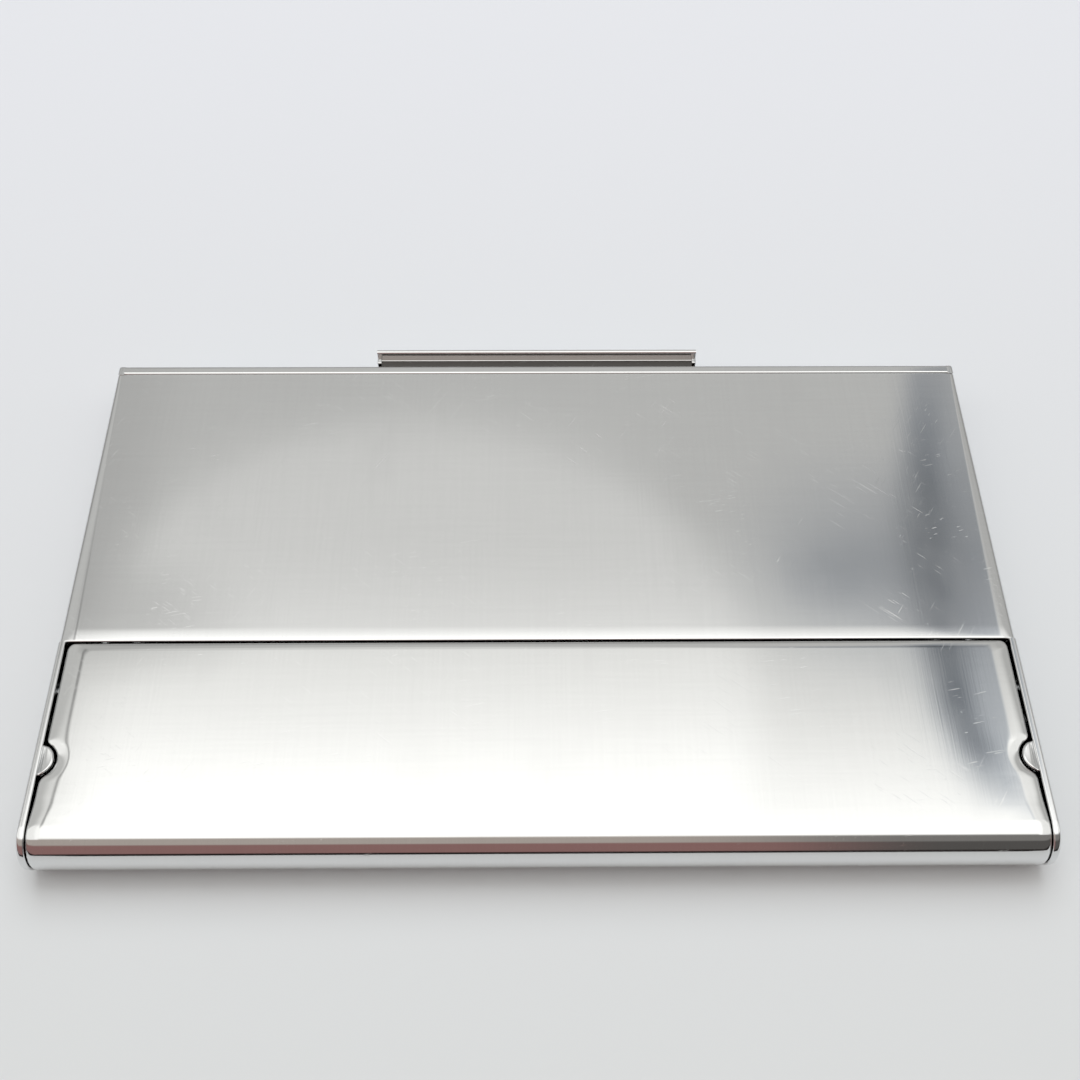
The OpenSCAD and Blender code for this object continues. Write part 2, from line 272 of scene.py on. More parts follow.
# ---------------------------------------------------------------- shader nodes
class Nodes:
    """Short calls for building a node tree."""

    def __init__(self, tree):
        self.tree = tree
        tree.nodes.clear()

    def add(self, kind, inputs=None, **settings):
        node = self.tree.nodes.new(kind)
        for key, value in settings.items():
            setattr(node, key, value)
        for key, value in (inputs or {}).items():
            self.put(node.inputs[key], value)
        return node

    def put(self, socket, value):
        if isinstance(value, bpy.types.NodeSocket):
            self.tree.links.new(value, socket)
        else:
            socket.default_value = value

    def math(self, operation, a, b=0.0, clamp=False):
        node = self.add("ShaderNodeMath", {0: a, 1: b}, operation=operation, use_clamp=clamp)
        return node.outputs[0]

    def plus(self, a, b):
        return self.math("ADD", a, b)

    def minus(self, a, b):
        return self.math("SUBTRACT", a, b)

    def times(self, a, b):
        return self.math("MULTIPLY", a, b)

    def ramp(self, value, low, high, to_low=0.0, to_high=1.0):
        """A smooth step from to_low to to_high as value goes from low to high."""
        node = self.add("ShaderNodeMapRange", interpolation_type="SMOOTHSTEP")
        for key, item in enumerate((value, low, high, to_low, to_high)):
            self.put(node.inputs[key], item)
        return node.outputs[0]

    def blend(self, factor, a, b):
        """A number between a and b."""
        node = self.add("ShaderNodeMix", {"Factor": factor, 2: a, 3: b}, data_type="FLOAT")
        return node.outputs[0]

    def mix(self, factor, a, b, how="MIX"):
        """A colour between a and b, or their product."""
        node = self.add("ShaderNodeMix", {"Factor": factor, 6: a, 7: b}, data_type="RGBA", blend_type=how)
        return node.outputs[2]

    def noise(self, vector, scale, detail=2.0, rough=0.5):
        node = self.add("ShaderNodeTexNoise", {"Vector": vector, "Scale": scale})
        node.inputs["Detail"].default_value = detail
        node.inputs["Roughness"].default_value = rough
        return node.outputs["Fac"]

    def stretched(self, vector, scale, turn_deg=0.0, shift=(0, 0, 0)):
        node = self.add("ShaderNodeMapping", {"Vector": vector, "Scale": scale})
        node.inputs["Rotation"].default_value = (0, 0, math.radians(turn_deg))
        node.inputs["Location"].default_value = shift
        return node.outputs[0]

    def surface(self, inputs):
        """The principled shader with these inputs, as the material's surface."""
        shader = self.add("ShaderNodeBsdfPrincipled", inputs)
        self.add("ShaderNodeOutputMaterial", {"Surface": shader.outputs[0]})


def node_material(name):
    """A new material, with the short calls for its nodes."""
    material = bpy.data.materials.new(name)
    material.use_nodes = True
    return material, Nodes(material.node_tree)


# ---------------------------------------------------------------- the metal
# noise scales are cycles per metre
BRUSH_SCALE = (6200, 90, 900)               # fine lines along Y
WEAVE_SCALE = (110, 3400, 110)              # fine lines along X
WORN_SCALE = 42.0
FILM_SCALE = (150, 60, 150)
WOBBLE_SCALE, WOBBLE = 70.0, 9.0            # how scratches wander off their line
DUST_SCALE = 900.0
MARK_COLOUR = (0.93, 0.94, 0.95, 1)
DUST_COLOUR = (0.9, 0.92, 0.95, 1)
BUMP_DEPTH = 0.0000022


def scratches(n, place, turn_deg, fineness, length, cover, shift):
    """Thin scattered scratches in one direction, 0 to 1. fineness and length are cycles per metre."""
    across = n.stretched(place, (1, 1, 1), turn_deg, shift)
    wobble = n.times(n.noise(place, WOBBLE_SCALE), WOBBLE)
    lines = n.stretched(across, (fineness, length, fineness / 3))
    lines = n.add("ShaderNodeVectorMath", {0: lines, 1: wobble}, operation="ADD").outputs[0]
    thin = n.ramp(n.noise(lines, 1.0, 1.0), cover, cover + 0.06)
    patch = n.ramp(n.noise(across, 120.0, 2.0), 0.5, 0.62)
    return n.times(thin, patch)


def all_scratches(n, place):
    """Long scratches, others across them, and short nicks, 0 to 1."""
    long_marks = scratches(n, place, 33, 9000, 150, 0.70, (3.1, 0.7, 0))
    cross_marks = scratches(n, place, -52, 8400, 300, 0.69, (1.3, 5.2, 0))
    nicks = scratches(n, place, 78, 8000, 600, 0.70, (7.7, 2.4, 0))
    return n.math("MAXIMUM", n.math("MAXIMUM", long_marks, cross_marks), nicks)


def dust(n, place):
    """Specks of dust in patches, 0 to 1."""
    cells = n.add("ShaderNodeTexVoronoi", {"Vector": place, "Scale": DUST_SCALE})
    specks = n.ramp(cells.outputs["Distance"], 0.05, 0.12, 1.0, 0.0)
    return n.times(specks, n.ramp(n.noise(place, 170.0, 3.0), 0.55, 0.66))


def polished_metal(name, tint, roughness, haze=0.05):
    """Polished plated sheet: faint brushing along Y, scattered scratches, nicks, smudges and dust."""
    material, n = node_material(name)
    place = n.add("ShaderNodeTexCoord").outputs["Object"]
    brush = n.noise(n.stretched(place, BRUSH_SCALE), 1.0, 2.0)
    weave = n.noise(n.stretched(place, WEAVE_SCALE, 3), 1.0, 2.0)
    worn = n.noise(place, WORN_SCALE, 3.0, 0.55)
    film = n.noise(n.stretched(place, FILM_SCALE, 14), 1.0, 3.0, 0.6)
    marks = all_scratches(n, place)
    specks = dust(n, place)

    rough = n.ramp(worn, 0.3, 0.75, roughness, roughness + haze)
    rough = n.plus(rough, n.times(n.ramp(film, 0.45, 0.75), haze * 0.6))
    rough = n.plus(rough, n.times(marks, 0.16))
    rough = n.math("ADD", rough, n.times(specks, 0.08), clamp=True)

    dull = [c * 0.9 for c in tint]
    streaks = n.plus(n.times(brush, 0.5), n.times(weave, 0.5))
    colour = n.mix(n.ramp(streaks, 0.35, 0.65, 0.0, 0.2), (*tint, 1), (*dull, 1))
    colour = n.mix(n.ramp(film, 0.5, 0.8, 0.0, 0.3), colour, (*dull, 1))
    colour = n.mix(n.times(marks, 0.18), colour, MARK_COLOUR)
    colour = n.mix(n.times(specks, 0.16), colour, DUST_COLOUR)

    height = n.plus(n.times(brush, 0.3), n.times(worn, 6.0))
    height = n.minus(height, n.times(marks, 0.5))
    bump = n.add("ShaderNodeBump", {"Height": height, "Strength": 1.0, "Distance": BUMP_DEPTH})
    n.surface({"Base Color": colour, "Roughness": rough, "Metallic": 1.0, "Normal": bump.outputs[0]})
    return material


# ---------------------------------------------------------------- the pressed shell
def panel_drop(x, y, half_width, near_edge):
    """How far a pressed panel's face falls away towards its sides, and its faint waviness."""
    edge_drop, wave_depth = 0.05 * MM, 0.006 * MM
    edge = max(0.0, (abs(x) - (half_width - near_edge)) / near_edge)
    wave = 1 + math.sin(x / (9.5 * MM) + 0.8) * math.cos(y / (13 * MM) - 0.4)
    return edge_drop * edge ** 2 + wave_depth * wave


def side_plate(bm, side):
    """A side wall's front part: the rail beside the lid, and the round cheek."""
    lap_y = SEAM_Y + FRONT_LAP
    outline = [(lap_y, 0), (lap_y, LAP_TOP), (SEAM_Y, LAP_TOP), (SEAM_Y, THICK)]
    outline += arc(AXIS_Y, AXIS_Z, ROLL_R, 90, 270, 72)
    profile = edge_profile(WALL, 0.12 * MM, 0.42 * MM, 7)
    add_plate(bm, outline, profile, lambda y, z, h: (side * (INNER_X + h), y, z))


def rear_block(bm, side):
    """The end of a side wall beside the rear wall's lip. Its edge radius outside equals its lap."""
    start = LIP_Y - LIP_GAP
    corner = 0.35 * MM
    outline = rounded([(start - REAR_LAP, 0, 0), (REAR_Y, 0, corner), (REAR_Y, THICK, corner),
                       (start, THICK, 0), (start, LAP_TOP, 0), (start - REAR_LAP, LAP_TOP, 0)], 5)
    profile = edge_profile(WALL, 0.1 * MM, REAR_LAP, 7)
    add_plate(bm, outline, profile, lambda y, z, h: (side * (INNER_X + h), y, z))


def shell_section(width, height):
    """The pressed shell in X and Z from its right foot, anticlockwise. Its bends are quarter ellipses."""
    spans = 30
    right = [(HALF_W, 0.0)]
    for a in quarter_turns(14):
        right.append((HALF_W - width * (1 - math.cos(a)), THICK - height * (1 - math.sin(a))))
    reach = HALF_W - width
    top = [(reach * (1 - 2 * i / spans), THICK) for i in range(1, spans)]
    left = [(-x, z) for x, z in reversed(right)]
    low = THICK - SHEET
    inner = [(-INNER_X, 0.0), (-INNER_X, low), (INNER_X, low), (INNER_X, 0.0)]
    return right + top + left + inner


def shell_places(y0, y1, edge, front_bend):
    """(y, inset) of the shell's sections: a rounded front edge, then close together over the bend."""
    places = [(y0, 0.8 * edge), (y0 + 0.2 * edge, 0.4 * edge), (y0 + 0.5 * edge, 0.14 * edge)]
    plain = [y0 + edge] + spaced(y0 + edge, y0 + front_bend, 0.15 * MM)
    plain += [y0 + front_bend] + spaced(y0 + front_bend, y1, 2 * MM) + [y1]
    return places + [(y, 0.0) for y in plain]


def pressed_shell(bm):
    """The fixed top and the sides under it, as one sheet whose side bends soften towards the front."""
    y0, y1 = SEAM_Y, LIP_Y - LIP_GAP
    front_bend, front_drop = 1.5 * MM, 0.055 * MM
    still_below = 4 * MM                    # the sides keep their place up to this height
    rings = []
    for y, tuck in shell_places(y0, y1, 0.1 * MM, front_bend):
        forward = (y1 - y) / (y1 - y0)
        width = (0.55 + 1.25 * forward ** 0.8) * MM
        height = (0.42 + 0.2 * forward) * MM
        near = max(0.0, 1 - (y - y0) / front_bend)
        ring = []
        for x, z in inset(shell_section(width, height), tuck):
            weight = max(0.0, (z - still_below) / (THICK - still_below))
            drop = panel_drop(min(abs(x), HALF_W - width), y, HALF_W - width, 9 * MM)
            ring.append((x, y, z - weight * (drop + front_drop * near ** 2)))
        rings.append(ring)
    add_closed(bm, rings)


def lug(bm, side):
    """A half-moon lug bent in from the rail, with a valley at the bend and a raised rim."""
    part = bmesh.new()
    outline = arc(LUG_X, LUG_Y, LUG_R, 100, 260, 40)
    profile = edge_profile(SHEET, 0.08 * MM, 0.16 * MM, 5)
    add_plate(part, outline, profile, lambda x, y, h: (x, y, THICK - SHEET + h))
    cut_grid(part, 0, spaced(LUG_X - LUG_R, LUG_X, 0.12 * MM))
    cut_grid(part, 1, spaced(LUG_Y - LUG_R, LUG_Y + LUG_R, 0.15 * MM))
    valley_x, valley_w = INNER_X - 0.12 * MM, 0.28 * MM
    sunk, valley, dish = 0.03 * MM, 0.17 * MM, 0.07 * MM
    for v in part.verts:
        out = math.hypot(v.co.x - LUG_X, v.co.y - LUG_Y) / LUG_R
        bend = math.exp(-((valley_x - v.co.x) / valley_w) ** 2)
        v.co.z -= sunk + valley * bend + dish * max(0.0, 1 - out * out)
        v.co.x *= side
    join(bm, part)


def make_top_shell(material):
    """The fixed top and both side walls, with their rails, cheeks and lugs."""
    bm = bmesh.new()
    pressed_shell(bm)
    for side in SIDES:
        side_plate(bm, side)
        rear_block(bm, side)
        lug(bm, side)
    finished(bm, "shell_skin", "case", ["top_shell"], material)


# ---------------------------------------------------------------- the lid
def shoulder(s):
    """Width and height of the lid's soft side shoulder at s. It swells beside the lug."""
    full_from = 2 * MM
    t = min(1.0, max(0.0, (s - S_STEP) / (full_from - S_STEP)))
    width = ROLL_BEND_W + (SIDE_BEND_W - ROLL_BEND_W) * t ** 2
    height = ROLL_BEND_H + (SIDE_BEND_H - ROLL_BEND_H) * t
    swell = 0.55 * MM * math.exp(-((s - S_LUG) / (1.8 * MM)) ** 2)
    return width + swell, height


def spread(s):
    """The roll reaches a little nearer to the cheeks than the flat part to the rails."""
    start = 3 * MM
    t = min(1.0, max(0.0, (start - s) / start))
    return ROLL_SPREAD * t * t * (3 - 2 * t)


def side_point(x, s):
    """A point of the side edge, with the shoulder's inner edge. See lid_edge."""
    width, height = shoulder(s)
    s_top = S_REAR - LID_CORNER
    s_low = S_LUG + 3.2 * MM
    inner_top = S_REAR - REAR_BEND_W - LID_CORNER
    inner_s = s
    if s > s_low:
        inner_s = s_low + (s - s_low) * (inner_top - s_low) / (s_top - s_low)
    return (x, s, LID_X - width, inner_s, height)


def rear_points():
    """The rear edge from its middle round the right corner. See lid_edge."""
    steps = 12
    points = [(0.0, S_REAR, 0.0, S_REAR - REAR_BEND_W, REAR_BEND_H)]
    for i in range(steps + 1):
        a = math.pi / 2 * (1 - i / steps)
        in_x, in_s = LID_CORNER * (1 - math.cos(a)), LID_CORNER * (1 - math.sin(a))
        height = REAR_BEND_H + (SIDE_BEND_H - REAR_BEND_H) * (i / steps)
        points.append((LID_X - in_x, S_REAR - in_s,
                       LID_X - SIDE_BEND_W - in_x, S_REAR - REAR_BEND_W - in_s, height))
    return points


def side_outline():
    """(x, s) along the right side from the rear corner to the roll's step, round the lug's notch."""
    blend = 0.9 * MM
    across = LUG_X - (LID_X - blend)
    along = math.sqrt((NOTCH_R + blend) ** 2 - across ** 2)
    lean = math.degrees(math.atan2(along, across))
    side = [(LID_X, s) for s in reversed(spaced(S_LUG + along, S_REAR - LID_CORNER, 0.7 * MM))]
    side += arc(LID_X - blend, S_LUG + along, blend, 0, -lean, 10)
    side += arc(LUG_X, S_LUG, NOTCH_R, 180 - lean, 180 + lean, 24)[1:-1]
    side += arc(LID_X - blend, S_LUG - along, blend, lean, 0, 10)
    side += [(LID_X, s) for s in reversed(spaced(S_STEP + 0.25 * MM, S_LUG - along, 0.5 * MM))]
    return side


def lip_points():
    """The roll's narrowed end, from the right step to the middle. See lid_edge."""
    x, corner = LID_X + spread(0), 0.2 * MM
    lip = rounded([(x, 0, 0), (x, S_STEP, corner), (LIP_HALF_W, S_STEP, corner),
                   (LIP_HALF_W, S_END, corner), (0, S_END, 0), (0, 0, 0)], 4)
    tucked = inset(lip[::-1], LIP_BEND_W)[::-1]
    points = [(*outer, *inner, ROLL_BEND_H) for outer, inner in list(zip(lip, tucked))[1:-2]]
    points.append((0.0, S_END, 0.0, S_END + LIP_BEND_W, ROLL_BEND_H))
    return points


def lid_edge():
    """The lid's right edge laid flat, from its rear middle to its lip's middle.

    Each point is (x, s, inner x, inner s, bend height). s runs back from the hinge axis's top line,
    and is negative round the roll. The inner point is where the side's soft shoulder meets the flat.
    """
    side = [side_point(x + spread(s), s) for x, s in side_outline()]
    return rear_points() + side + lip_points()


def wrap_lid(x, s, depth):
    """From the flat lid to its place: flat behind the axis, wound round it in front."""
    if s >= 0:
        drop = panel_drop(x, s, LID_X, 8 * MM) * min(1.0, s / (4 * MM))
        return (x, AXIS_Y + s, THICK - depth - drop)
    angle = math.pi / 2 - s / ROLL_R
    r = ROLL_R - depth
    return (x, AXIS_Y + r * math.cos(angle), AXIS_Z + r * math.sin(angle))


def lid_ring(edge, reach, depth, skirt):
    """One ring of the flat lid, from its edge (reach 0) to the inner end of its bends (reach 1)."""
    ring = []
    for x, s, inner_x, inner_s, height in edge:
        below = skirt * min(1.0, max(0.25, 1 + s / (2 * MM)))
        ring.append((x + (inner_x - x) * reach, s + (inner_s - s) * reach, height * depth + below))
    return ring


def make_lid(material):
    """The lid as one sheet: soft shoulders, turned-down edges, lug notches and the rolled front."""
    right = lid_edge()
    left = [(-x, s, -inner_x, inner_s, h) for x, s, inner_x, inner_s, h in reversed(right[1:-1])]
    edge = right + left
    steps, first_turn = 12, 0.03
    rings = [lid_ring(edge, 0.0, 1.0, SKIRT)]
    for i in range(steps + 1):
        a = math.pi / 2 * (first_turn + (1 - first_turn) * i / steps)
        rings.append(lid_ring(edge, 1 - math.cos(a), 1 - math.sin(a), 0.0))
    bm = bmesh.new()
    loops = add_rings(bm, rings)
    bm.faces.new(loops[-1])
    cut_grid(bm, 1, spaced(S_END, 0, ROLL_R * math.radians(4)) + [0.0])
    cut_grid(bm, 1, spaced(0, S_REAR - 1.1 * MM, 1.5 * MM))
    cut_grid(bm, 0, spaced(-LID_X + 2 * MM, LID_X - 2 * MM, 2.5 * MM))
    for v in bm.verts:
        v.co = wrap_lid(*v.co)
    face_up(bm)
    solid = ("SOLIDIFY", {"thickness": LID_SHEET, "offset": -1.0, "use_even_offset": True})
    finished(bm, "lid_skin", "lid", ["lid"], material, [solid])


# ---------------------------------------------------------------- rear wall, thumb bar and bottom
def rear_wall_tab(bm, reach, side):
    """The tab that turns forward at one end of the rear wall."""
    thick, low, high, corner = 0.4 * MM, 2.1 * MM, 4.0 * MM, 0.2 * MM
    front, back = LIP_Y - 0.4 * MM, REAR_Y - 0.1 * MM
    outline = rounded([(front, low, corner), (back, low, 0), (back, high, 0), (front, high, corner)], 4)
    profile = edge_profile(thick, 0.04 * MM, 0.04 * MM, 3)
    add_plate(bm, outline, profile, lambda y, z, h: (side * (reach - thick + h), y, z))


def make_rear_wall(material):
    """The pressed channel: a rear plate slotted for the push bar, upper lip, lower flange, end tabs."""
    reach = wall_high.x
    y_in = REAR_Y - SHEET
    lip_low = THICK - SHEET
    slot_low, slot_high = tongue_low.z - 0.35 * MM, tongue_high.z + 0.35 * MM
    slot_foot = bar_low.z - 0.25 * MM
    slot_half, return_half = bar_high.x + 0.25 * MM, bar_high.x - 0.75 * MM
    bm = bmesh.new()
    lip = rounded([(y_in, slot_high, 0), (REAR_Y, slot_high, 0.03 * MM), (REAR_Y, THICK, 0.42 * MM),
                   (LIP_Y, THICK, 0.3 * MM), (LIP_Y, lip_low, 0.06 * MM), (y_in, lip_low, 0)], 7)
    strip_along_x(bm, lip, -reach, reach)
    foot = rounded([(LIP_Y, 0, 0.05 * MM), (REAR_Y, 0, 0.25 * MM), (REAR_Y, slot_foot, 0),
                    (y_in, slot_foot, 0), (y_in, SHEET, 0.1 * MM), (LIP_Y, SHEET, 0.05 * MM)], 5)
    strip_along_x(bm, foot, -reach, reach)
    uprights = [(-return_half, return_half, slot_low),
                (-reach, -slot_half, slot_high),
                (slot_half, reach, slot_high)]
    for x0, x1, top in uprights:
        plate = [(y_in, slot_foot), (REAR_Y, slot_foot), (REAR_Y, top), (y_in, top)]
        strip_along_x(bm, plate, x0, x1)
    for side in SIDES:
        rear_wall_tab(bm, reach, side)
    finished(bm, "rear_wall_skin", "case", ["rear_wall"], material)


def bar_section(y0, y1, z0, z1):
    """The thumb bar in Y and Z: a soft upper front edge, and fine grooves across its back."""
    soft, crisp = 0.26 * MM, 0.07 * MM
    groove_r, grooves = 0.12 * MM, 4
    step = (z1 - z0) / (grooves + 1)
    section = arc(y0 + soft, z1 - soft, soft, 90, 180, 7)
    section += arc(y0 + crisp, z0 + crisp, crisp, 180, 270, 5)
    section += arc(y1 - crisp, z0 + crisp, crisp, 270, 360, 5)
    for i in range(1, grooves + 1):
        section += arc(y1, z0 + i * step, groove_r, 270, 90, 8)
    return section + arc(y1 - crisp, z1 - crisp, crisp, 0, 90, 5)


def bar_foot(bm, y0, x_in):
    """The thin foot in front of the bar, on the push frame's tongue."""
    low = tongue_high.z + 0.005 * MM
    high = low + 0.13 * MM
    front, back = y0 - 0.45 * MM, y0 + 0.05 * MM
    foot = rounded([(front, low, 0.02 * MM), (back, low, 0), (back, high, 0), (front, high, 0.1 * MM)], 5)
    strip_along_x(bm, foot, -x_in, x_in)


def make_thumb_bar(material):
    """The upright bar, its foot on the tongue and its two returned ends."""
    thick = 0.5 * MM
    x_in = bar_high.x - thick
    y0, y1 = bar_high.y - thick + FLUSH, bar_high.y - FLUSH
    z0, z1 = bar_low.z, bar_high.z
    bm = bmesh.new()
    strip_along_x(bm, bar_section(y0, y1, z0, z1), bar_low.x, bar_high.x, 0.06 * MM)
    bar_foot(bm, y0, x_in)
    top, back = THICK - SHEET - 0.25 * MM, y0 + 0.1 * MM
    outline = rounded([(bar_low.y, z0, 0.1 * MM), (back, z0, 0),
                       (back, top, 0), (bar_low.y, top, 0.15 * MM)], 5)
    profile = edge_profile(thick, 0.08 * MM, 0.1 * MM, 4)
    for side in SIDES:
        add_plate(bm, outline, profile, lambda y, z, h, s=side: (s * (x_in + h), y, z))
    finished(bm, "thumb_bar_skin", "pusher", ["thumb_bar"], material)


def make_bottom(material):
    """Flat bottom sheet with softened edges, and its low side flanges."""
    low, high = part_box("bottom_cover")
    corner, flange_t = 0.2 * MM, 0.4 * MM
    flange_y, flange_z = low.y + 2.4 * MM, 0.1 * MM
    bm = bmesh.new()
    outline = rounded([(low.x, low.y, corner), (high.x, low.y, corner),
                       (high.x, high.y, corner), (low.x, high.y, corner)], 4)
    add_plate(bm, outline, edge_profile(SHEET, 0.12 * MM, 0.05 * MM, 4), lambda x, y, h: (x, y, h + FLUSH))
    flange = rounded([(flange_y, flange_z, 0), (high.y, flange_z, 0),
                      (high.y, high.z, corner), (flange_y, high.z, 0.5 * MM)], 4)
    profile = edge_profile(flange_t, 0.05 * MM, 0.05 * MM, 3)
    for side in SIDES:
        add_plate(bm, flange, profile, lambda y, z, h, s=side: (s * (high.x - flange_t + h), y, z))
    finished(bm, "bottom_skin", "case", ["bottom_cover"], material)


def dress_cad(hardware, spring, push_frame):
    """Gives every CAD node its metal; the push frame gets a near-black metal as painted shade. A node that
    a piece replaces isn't seen.
    """
    for row in frame["record"]["subparts"]:
        node = frame["nodes"][row["node"]]
        metal = spring if row["material_slot"] == "spring_steel" else hardware
        # Painted shade: the push frame's tongue is drawn near black to darken the gap behind the rear wall
        if row["node"] == "push_frame":
            metal = push_frame
        node.data.materials.clear()
        node.data.materials.append(metal)


# ---------------------------------------------------------------- floor
def make_floor():
    """A wide pale surface under the case, with painted light: darker towards the front and lighter and
    cooler towards the back, as the lamp's fall-off.
    """
    bm = bmesh.new()
    bmesh.ops.create_grid(bm, x_segments=2, y_segments=2, size=3.0)
    mesh = bpy.data.meshes.new("floor")
    bm.to_mesh(mesh)
    bm.free()
    floor = bpy.data.objects.new("floor", mesh)
    bpy.context.scene.collection.objects.link(floor)
    material, n = node_material("floor_paper")
    # Painted light: the base colour runs from a darker front tone to a lighter, cooler back tone, standing
    # in for the lamp's fall-off
    front_shaded_tone, back_lit_tone = (0.605, 0.617, 0.622, 1), (0.669, 0.678, 0.717, 1)
    place = n.add("ShaderNodeTexCoord").outputs["Object"]
    back = n.add("ShaderNodeSeparateXYZ", {"Vector": place}).outputs["Y"]
    back = n.plus(back, n.times(n.noise(place, 9.0, 2.0), 0.01))
    colour = n.mix(n.ramp(back, -0.09, 0.12), front_shaded_tone, back_lit_tone)
    n.surface({"Base Color": colour, "Roughness": 0.6, "Specular IOR Level": 0.25})
    floor.data.materials.append(material)


# ---------------------------------------------------------------- studio
# The studio is a ceiling. u and v are a direction's x and y over its z, which is where it meets a
# ceiling one unit up. From the camera the flat top mirrors v 0.33 (roll) to 0.83 (rear edge).
def spot(n, u, v, centre, radii, inner, outer):
    """1 inside an ellipse on the ceiling, falling to 0 between inner and outer of its radius."""
    du = n.math("DIVIDE", n.minus(u, centre[0]), radii[0])
    dv = n.math("DIVIDE", n.minus(v, centre[1]), radii[1])
    square = n.plus(n.times(du, du), n.times(dv, dv))
    return n.ramp(n.math("SQRT", square), inner, outer, 1.0, 0.0)


def right_dark(n, u, v):
    """The dark patch on the right: a bowed core, a dimmer part beside it and two soft spots."""
    bow = n.times(n.math("POWER", n.math("ABSOLUTE", n.minus(v, 0.47)), 2.0), 0.42)
    hook = n.times(n.math("MAXIMUM", n.minus(0.42, v), 0.0), 0.33)
    off = n.minus(u, n.plus(n.plus(bow, hook), 0.389))
    core = n.times(n.ramp(n.math("ABSOLUTE", off), 0.010, 0.036, 1.0, 0.0), 0.40)
    beside = n.times(n.ramp(off, -0.045, -0.002), n.ramp(u, 0.46, 0.56, 0.40, 0.0))
    along = n.times(n.ramp(v, 0.33, 0.39), n.ramp(v, 0.60, 0.84, 1.0, 0.5))
    dark = n.times(n.plus(core, beside), along)
    dark = n.plus(dark, n.times(spot(n, u, v, (0.305, 0.570), (0.085, 0.045), 0.3, 1.2), 0.27))
    dark = n.plus(dark, n.times(spot(n, u, v, (0.33, 0.58), (0.16, 0.15), 0.2, 1.1), 0.2))
    return n.math("MINIMUM", dark, 0.82)


def left_dark(n, u, v):
    """The milder dark patches on the left: a long one at the edge and a small one near the seam."""
    line = n.times(spot(n, u, v, (-0.50, 0.42), (0.05, 0.30), 0.3, 1.0), 0.55)
    patch = n.times(spot(n, u, v, (-0.39, 0.52), (0.17, 0.085), 0.15, 1.0), 0.25)
    return n.math("MAXIMUM", line, patch)


def ceiling_level(n, u, v, dark):
    """The ceiling's brightness: white over the lid, greyer behind it and dimmer far to the sides."""
    level = n.plus(n.ramp(v, 0.30, 0.62, 1.10, 0.56), n.ramp(v, 0.24, 0.44, 0.34, 0.0))
    glow = spot(n, u, v, (-0.12, 0.455), (0.33, 0.30), 0.90, 1.07)
    level = n.plus(level, n.times(glow, 0.17))
    level = n.times(level, n.ramp(u, -0.46, -0.34, 0.86, 1.0))
    level = n.times(level, n.minus(1.0, n.math("MAXIMUM", dark, left_dark(n, u, v))))
    right_side = n.ramp(v, 0.42, 0.62, 1.0, 0.5)
    left_side = n.ramp(v, 0.34, 0.50, 1.05, 0.58)
    far_side = n.blend(n.ramp(u, -0.2, 0.2), left_side, right_side)
    level = n.blend(n.ramp(n.math("ABSOLUTE", u), 0.55, 0.75), level, far_side)
    level = n.blend(n.ramp(v, 0.9, 1.8), level, 0.36)
    return n.times(level, 1.04)


def low_front(n, x, v):
    """Low in front: a grey band over a reddish one, both darker to the right, over near black."""
    reddish = n.mix(n.ramp(x, 0.16, 0.32), (0.28, 0.155, 0.145, 1), (0.10, 0.095, 0.09, 1))
    grey_band = n.mix(n.ramp(x, 0.10, 0.30), (0.457, 0.404, 0.365, 1), (0.22, 0.21, 0.20, 1))
    bands = n.mix(n.ramp(v, -1.35, -1.1), reddish, grey_band)
    return n.mix(n.ramp(v, -9.0, -6.0), (0.02, 0.016, 0.015, 1), bands)


def make_world():
    """The soft studio, and a plain pale backdrop where the camera sees past the floor."""
    world = bpy.data.worlds.new("studio")
    bpy.context.scene.world = world
    world.use_nodes = True
    n = Nodes(world.node_tree)
    direction = n.add("ShaderNodeTexCoord").outputs["Generated"]
    x, y, z = n.add("ShaderNodeSeparateXYZ", {"Vector": direction}).outputs
    up = n.math("MAXIMUM", z, 0.03)
    u = n.math("DIVIDE", x, up)
    v = n.math("DIVIDE", y, up)
    dark = right_dark(n, u, v)
    level = ceiling_level(n, u, v, dark)
    grey = n.add("ShaderNodeCombineColor", {0: level, 1: level, 2: level}).outputs[0]
    tint = n.mix(dark, (1.0, 0.995, 0.965, 1), (0.86, 0.98, 1.14, 1))
    ceiling = n.mix(1.0, grey, tint, "MULTIPLY")
    studio = n.mix(n.ramp(v, -0.62, -0.44, 1.0, 0.0), ceiling, low_front(n, x, v))
    seen = n.add("ShaderNodeLightPath").outputs["Is Camera Ray"]
    colour = n.mix(seen, studio, (0.80, 0.825, 0.84, 1))
    background = n.add("ShaderNodeBackground", {"Color": colour, "Strength": 1.0})
    n.add("ShaderNodeOutputWorld", {"Surface": background.outputs[0]})


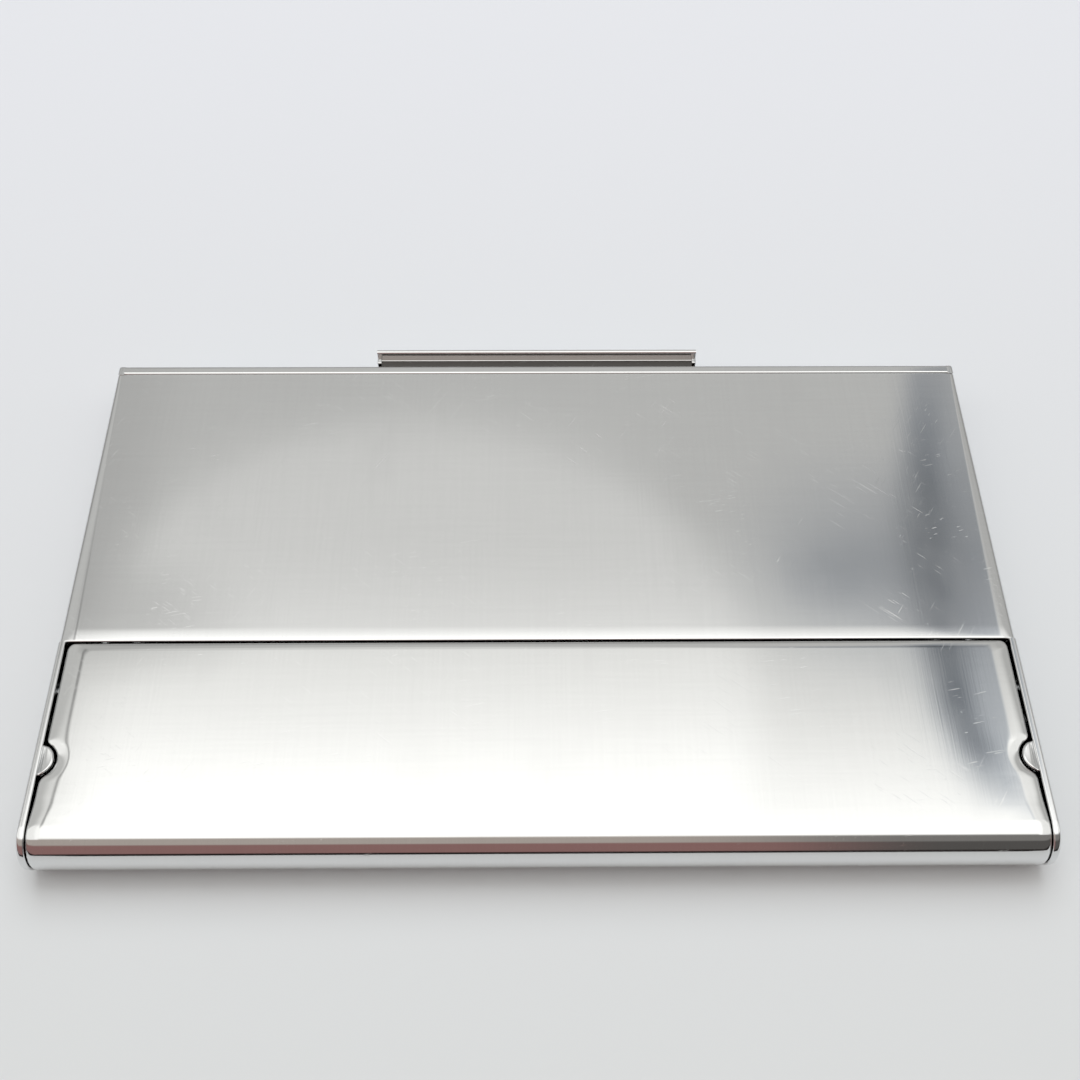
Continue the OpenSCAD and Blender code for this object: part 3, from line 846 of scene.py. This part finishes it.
def make_lights():
    """One wide soft lamp above and behind, for the floor's even tone and the soft shadow."""
    lamp = bpy.data.lights.new("overhead", "AREA")
    lamp.shape = "DISK"
    lamp.size = 0.9
    lamp.energy = 6.0
    lamp.color = (0.955, 1.0, 1.02)
    lamp_object = bpy.data.objects.new("overhead", lamp)
    lamp_object.location = (0.0, 0.55, 0.95)
    aim = Vector((0, 0, 0)) - lamp_object.location
    lamp_object.rotation_euler = aim.to_track_quat("-Z", "Y").to_euler()
    lamp_object.visible_glossy = False
    bpy.context.scene.collection.objects.link(lamp_object)


def make_camera():
    """A near view from above and in front of the lid, looking steeply down."""
    beside, before, above = -0.84 * MM, 35.11 * MM, 114.13 * MM
    place = Vector((beside, AXIS_Y - before, above))
    down, turn, tilt = (math.radians(a) for a in (58.735, -0.902, 0.596))
    spin = Matrix.Rotation(turn, 3, "Z")
    ahead = spin @ Vector((0, math.cos(down), -math.sin(down)))
    over = spin @ Vector((0, math.sin(down), math.cos(down)))
    across = spin @ Vector((1, 0, 0))
    right = math.cos(tilt) * across + math.sin(tilt) * over
    upward = math.cos(tilt) * over - math.sin(tilt) * across
    camera = bpy.data.cameras.new("camera")
    camera.sensor_width = 36.0
    camera.lens = 40.09
    camera.clip_start = 0.005
    camera.clip_end = 20.0
    camera_object = bpy.data.objects.new("camera", camera)
    axes = Matrix((right, upward, -ahead)).transposed()
    camera_object.matrix_world = Matrix.Translation(place) @ axes.to_4x4()
    bpy.context.scene.collection.objects.link(camera_object)
    bpy.context.scene.camera = camera_object


# ---------------------------------------------------------------- the scene
make_camera()
make_world()
make_lights()
make_floor()

shell_metal = polished_metal("shell_metal", (0.77, 0.775, 0.78), 0.07)
lid_metal = polished_metal("lid_metal", (0.77, 0.775, 0.775), 0.05, 0.04)
hardware_metal = polished_metal("hardware_metal", (0.68, 0.69, 0.70), 0.12, 0.10)
spring_metal = polished_metal("spring_metal", (0.46, 0.46, 0.47), 0.16, 0.1)
# Painted shade: the push frame's tongue gets a near-black metal so the gap between the thumb bar and the
# rear wall reads dark
frame_painted_shade = polished_metal("frame_painted_shade", (0.13, 0.125, 0.12), 0.24, 0.1)

make_top_shell(shell_metal)
make_lid(lid_metal)
make_rear_wall(shell_metal)
make_thumb_bar(shell_metal)
make_bottom(shell_metal)
dress_cad(hardware_metal, spring_metal, frame_painted_shade)

bpy.context.scene.view_settings.view_transform = "Standard"
